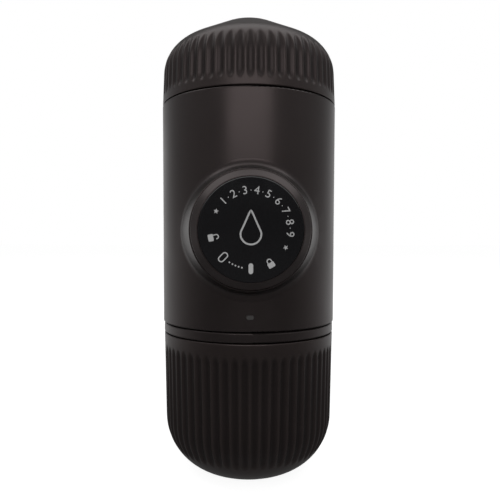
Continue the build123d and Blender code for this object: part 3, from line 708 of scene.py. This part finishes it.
def make_handling_group():
    """Faint marks of hands: soft smudges broken up by fine wiping streaks."""
    group, given, result = new_group("handling", {"Amount": 0.5}, {"Mask": "NodeSocketFloat"})
    place = add(group, "ShaderNodeTexCoord").outputs["Object"]
    smudge = add(
        group, "ShaderNodeTexNoise",
        {"Vector": place, "Scale": 38.0, "Detail": 2.0, "Distortion": 0.6},
    )
    stretch = add(group, "ShaderNodeMapping", {"Vector": place, "Scale": (900.0, 900.0, 70.0)})
    streak = add(
        group, "ShaderNodeTexNoise",
        {"Vector": stretch.outputs[0], "Scale": 1.0, "Detail": 3.0},
    )
    patch = graded(group, smudge.outputs["Fac"], 0.5, 0.72, 0.0, 1.0)
    streaked = reckon(group, "MULTIPLY", patch, streak.outputs["Fac"])
    mask = reckon(group, "MULTIPLY", streaked, given.outputs["Amount"])
    group.links.new(mask, result.inputs["Mask"])
    return group


grain = make_grain_group()
handling = make_handling_group()


def new_material(name):
    material = bpy.data.materials.new(name)
    tree = bare_tree(material)
    shader = add(tree, "ShaderNodeBsdfPrincipled")
    add(tree, "ShaderNodeOutputMaterial", {"Surface": shader.outputs[0]})
    return material, tree, shader


def plastic(
    name, dark, light, rough, grain_size, grain_depth,
    smudges=0.5, sheen=(1, 1, 1), has_flutes=False,
):
    """Moulded plastic: even grain, slight mottling between two tones, and faint smudges. Its
    reflection takes the colour sheen. Flutes carry painted shade, darker where they are deep, and
    are rougher there."""
    material, tree, shader = new_material(name)
    texture = add(
        tree, "ShaderNodeGroup", {"Size": grain_size, "Depth": grain_depth}, node_tree=grain
    )
    touched = add(tree, "ShaderNodeGroup", {"Amount": smudges}, node_tree=handling)
    mottle = texture.outputs["Mottle"]
    colour = blended(tree, spread_out(tree, mottle, 0.0, 1.0), dark, light)
    roughness = spread_out(tree, mottle, rough - MOTTLE_ROUGHNESS, rough + MOTTLE_ROUGHNESS)
    roughness = reckon(tree, "MULTIPLY_ADD", touched.outputs["Mask"], SMUDGE_GLOSS, roughness)
    if has_flutes:
        depth = add(tree, "ShaderNodeAttribute", attribute_name="hollow").outputs["Fac"]
        # Painted shade: the base colour darkens towards the dark tone where the flute is deep.
        colour = blended(tree, depth, colour, [c * FLUTE_PAINTED_SHADE for c in dark])
        roughness = reckon(tree, "MULTIPLY_ADD", depth, HOLLOW_ROUGHNESS, roughness)
    tree.links.new(colour, shader.inputs["Base Color"])
    tree.links.new(roughness, shader.inputs["Roughness"])
    tree.links.new(texture.outputs["Normal"], shader.inputs["Normal"])
    shader.inputs["Specular Tint"].default_value = (*sheen, 1)
    shader.inputs["IOR"].default_value = PLASTIC_IOR
    return material


def steel(name, colour, rough, line_scale, line_depth):
    """Bare steel with fine brushed lines."""
    material, tree, shader = new_material(name)
    place = add(tree, "ShaderNodeTexCoord").outputs["Object"]
    lines = add(tree, "ShaderNodeMapping", {"Vector": place, "Scale": line_scale})
    brushed = add(
        tree, "ShaderNodeTexNoise",
        {"Vector": lines.outputs[0], "Scale": 1.0, "Detail": 3.0},
    ).outputs["Fac"]
    tone = blended(tree, brushed, [c * 0.9 for c in colour], colour)
    bump = add(
        tree, "ShaderNodeBump", {"Strength": 1.0, "Distance": line_depth * MM, "Height": brushed}
    )
    roughness = spread_out(tree, brushed, rough - 0.05, rough + 0.07)
    tree.links.new(tone, shader.inputs["Base Color"])
    tree.links.new(roughness, shader.inputs["Roughness"])
    tree.links.new(bump.outputs[0], shader.inputs["Normal"])
    shader.inputs["Metallic"].default_value = 1.0
    return material


WARM = (1.0, 0.82, 0.81)
finishes = {
    "shell_plastic": plastic(
        "satin shell plastic", (0.0085, 0.0070, 0.0068), (0.0105, 0.0088, 0.0086),
        rough=0.33, grain_size=0.16, grain_depth=0.003, sheen=WARM,
    ),
    "ribbed_plastic": plastic(
        "ribbed plastic", (0.0100, 0.0077, 0.0072), (0.0122, 0.0095, 0.0089),
        rough=0.36, grain_size=0.18, grain_depth=0.004, smudges=0.4, sheen=WARM,
        has_flutes=True,
    ),
    "inner_plastic": plastic(
        "inner plastic", (0.022, 0.022, 0.023), (0.028, 0.028, 0.029),
        rough=0.38, grain_size=0.2, grain_depth=0.003, smudges=0.2,
    ),
    "label_gloss": plastic(
        "gloss black", (0.0056, 0.0054, 0.0060), (0.0068, 0.0066, 0.0072),
        rough=0.09, grain_size=0.3, grain_depth=0.0004, smudges=0.6,
    ),
    "print": plastic(
        "light grey print", (0.30, 0.30, 0.30), (0.36, 0.36, 0.36),
        rough=0.45, grain_size=0.2, grain_depth=0.001, smudges=0.3,
    ),
    # The index mark's face: a flat grey, lighter than the shell.
    "index_face": plastic(
        "dull lighter grey", (0.030, 0.028, 0.027), (0.036, 0.034, 0.033),
        rough=0.5, grain_size=0.2, grain_depth=0.001, smudges=0.3,
    ),
    "silicone": plastic(
        "silicone", (0.23, 0.235, 0.24), (0.28, 0.285, 0.29),
        rough=0.5, grain_size=0.12, grain_depth=0.004, smudges=0.3,
    ),
    "steel": steel(
        "brushed steel", (0.60, 0.60, 0.61),
        rough=0.26, line_scale=(260.0, 260.0, 5000.0), line_depth=0.002,
    ),
    "spring_steel": steel(
        "spring steel", (0.46, 0.46, 0.47),
        rough=0.2, line_scale=(3000.0, 3000.0, 3000.0), line_depth=0.001,
    ),
}

for part in frame["record"]["subparts"]:
    node = frame["nodes"][part["node"]]
    node.data.materials.clear()
    node.data.materials.append(finishes[part["material_slot"]])


def dress(piece, body, slot, finish=None, instead_of=None):
    """Gives a piece its finish and the body it moves with, and hides the node that it stands
    for."""
    piece.data.materials.clear()
    piece.data.materials.append(finishes[finish or slot])
    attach(piece, body)
    if instead_of:
        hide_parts(instead_of)


dress(make_cup(), "cup", "ribbed_plastic", instead_of="cup")
dress(make_water_tank(), "water_tank", "ribbed_plastic", instead_of="water_tank")
dress(make_knob(), "knob", "shell_plastic", instead_of="knob")
dress(make_disc(), "knob", "label_gloss", instead_of="label_disc")
dress(make_marks(), "knob", "label_gloss", finish="print")
dress(make_index(), "main_body", "shell_plastic", finish="index_face")
for node, joint in (("inlet_spring", "inlet_ball_drop"), ("outlet_spring", "outlet_ball_drop")):
    coil, kept = make_valve_spring(node)
    dress(coil, "main_body", "spring_steel", instead_of=node)
    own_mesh(coil)


# ---------------------------------------------------------------- studio
FLOOR_SIZE = 60  # metres
SEEN_LEVEL, NEAR_LEVEL = 0.9, 0.17  # how bright the camera sees the floor, and gloss close by


def studio_floor():
    """A pale floor. Gloss sees it as a white sweep behind the object, with less of it in
    front."""
    deselect()
    bpy.ops.mesh.primitive_plane_add(size=FLOOR_SIZE, location=(0, 0, 0))
    floor = bpy.context.object
    floor.name = "floor"
    material = bpy.data.materials.new("pale floor")
    tree = bare_tree(material)
    ray = add(tree, "ShaderNodeLightPath").outputs
    place = add(tree, "ShaderNodeTexCoord").outputs["Object"]
    way = add(tree, "ShaderNodeVectorMath", {0: place}, operation="NORMALIZE").outputs[0]
    forward = add(tree, "ShaderNodeSeparateXYZ", {0: way}).outputs["Y"]
    distance = add(tree, "ShaderNodeVectorMath", {0: place}, operation="LENGTH").outputs["Value"]
    far = graded(tree, distance, start=0.1, end=0.28, low=0.0, high=1.0)
    sweep_level = graded(tree, forward, start=-0.85, end=0.55, low=0.07, high=0.68)
    level = add(tree, "ShaderNodeMix", {0: far, 2: NEAR_LEVEL, 3: sweep_level}).outputs[0]
    sweep = add(tree, "ShaderNodeEmission", {"Strength": level})
    white = add(tree, "ShaderNodeEmission", {"Strength": SEEN_LEVEL})
    shadowed = add(tree, "ShaderNodeBsdfDiffuse", {"Color": (0.3, 0.3, 0.3, 1)})
    seen = add(tree, "ShaderNodeAddShader", {0: white.outputs[0], 1: shadowed.outputs[0]})
    pale = add(tree, "ShaderNodeBsdfDiffuse", {"Color": (0.75, 0.75, 0.75, 1)})
    plain = either(tree, ray["Is Camera Ray"], otherwise=pale.outputs[0], chosen=seen.outputs[0])
    both = either(tree, ray["Is Glossy Ray"], otherwise=plain, chosen=sweep.outputs[0])
    add(tree, "ShaderNodeOutputMaterial", {"Surface": both})
    floor.data.materials.append(material)


def studio_world():
    """A pale room, white behind the object and dark behind the camera. The camera sees it
    white."""
    world = bpy.data.worlds.new("studio")
    bpy.context.scene.world = world
    tree = bare_tree(world)
    way = add(tree, "ShaderNodeTexCoord").outputs["Generated"]
    split = add(tree, "ShaderNodeSeparateXYZ", {0: way})
    depth, height = split.outputs["Y"], split.outputs["Z"]
    sides = graded(tree, depth, start=-1.0, end=-0.72, low=0.08, high=0.46)
    behind = graded(tree, depth, start=0.25, end=1.15, low=0.0, high=0.65)
    low_down = graded(tree, height, start=0.12, end=0.45, low=1.0, high=0.0)
    back = reckon(tree, "MULTIPLY", behind, low_down)
    rear = reckon(tree, "MULTIPLY", depth, height)
    shade = graded(tree, rear, start=0.12, end=0.4, low=1.0, high=0.4)
    level = reckon(tree, "MULTIPLY_ADD", sides, shade, back)
    room = add(tree, "ShaderNodeBackground", {"Strength": level})
    white = add(tree, "ShaderNodeBackground", {"Color": (1, 1, 1, 1), "Strength": 1.0})
    ray = add(tree, "ShaderNodeLightPath").outputs["Is Camera Ray"]
    both = either(tree, ray, otherwise=room.outputs[0], chosen=white.outputs[0])
    add(tree, "ShaderNodeOutputWorld", {"Surface": both})


def softbox(name, place, target, width, height, level, shown=True):
    """A soft lamp whose face is as bright as a surface of that level. Gloss shows it, if
    shown."""
    deselect()
    bpy.ops.object.light_add(type="AREA", location=place)
    lamp = bpy.context.object
    lamp.name = name
    lamp.data.shape = "RECTANGLE"
    lamp.data.size, lamp.data.size_y = width, height
    lamp.data.energy = level * width * height * math.pi
    lamp.visible_glossy = shown
    lamp.rotation_euler = (Vector(target) - Vector(place)).to_track_quat("-Z", "Y").to_euler()


studio_floor()
studio_world()
softbox(
    "front softbox", place=(0.0, -0.96, 0.395), target=(0, 0, 0.11),
    width=1.0, height=0.29, level=2.8,
)
softbox(
    "top softbox", place=(0.0, 0.08, 1.2), target=(0, 0.08, 0.1),
    width=2.8, height=0.9, level=1.25,
)
softbox(
    "fill", place=(0.0, -1.2, 0.78), target=(0, 0, 0.08),
    width=1.6, height=1.2, level=0.8, shown=False,
)

# The lens stands nearly level, a little left of the front.
EYE_DISTANCE, EYE_HEIGHT = 189.7 * MM, 78.3 * MM
EYE_TURN, EYE_LEAN = math.radians(-0.95), math.radians(-0.12)
LENS_LENGTH, SENSOR_WIDTH = 38.35, 36
LENS_RIGHT, LENS_UP = 0.0028, -0.0132
NEAREST = 5 * MM
bpy.ops.object.camera_add(
    location=(EYE_DISTANCE * math.sin(EYE_TURN), -EYE_DISTANCE * math.cos(EYE_TURN), EYE_HEIGHT),
    rotation=(QUARTER_TURN, EYE_LEAN, EYE_TURN),
)
camera = bpy.context.object
camera.data.lens, camera.data.sensor_width = LENS_LENGTH, SENSOR_WIDTH
camera.data.shift_x, camera.data.shift_y = LENS_RIGHT, LENS_UP
camera.data.clip_start = NEAREST
bpy.context.scene.camera = camera
bpy.context.scene.view_settings.view_transform = "Standard"
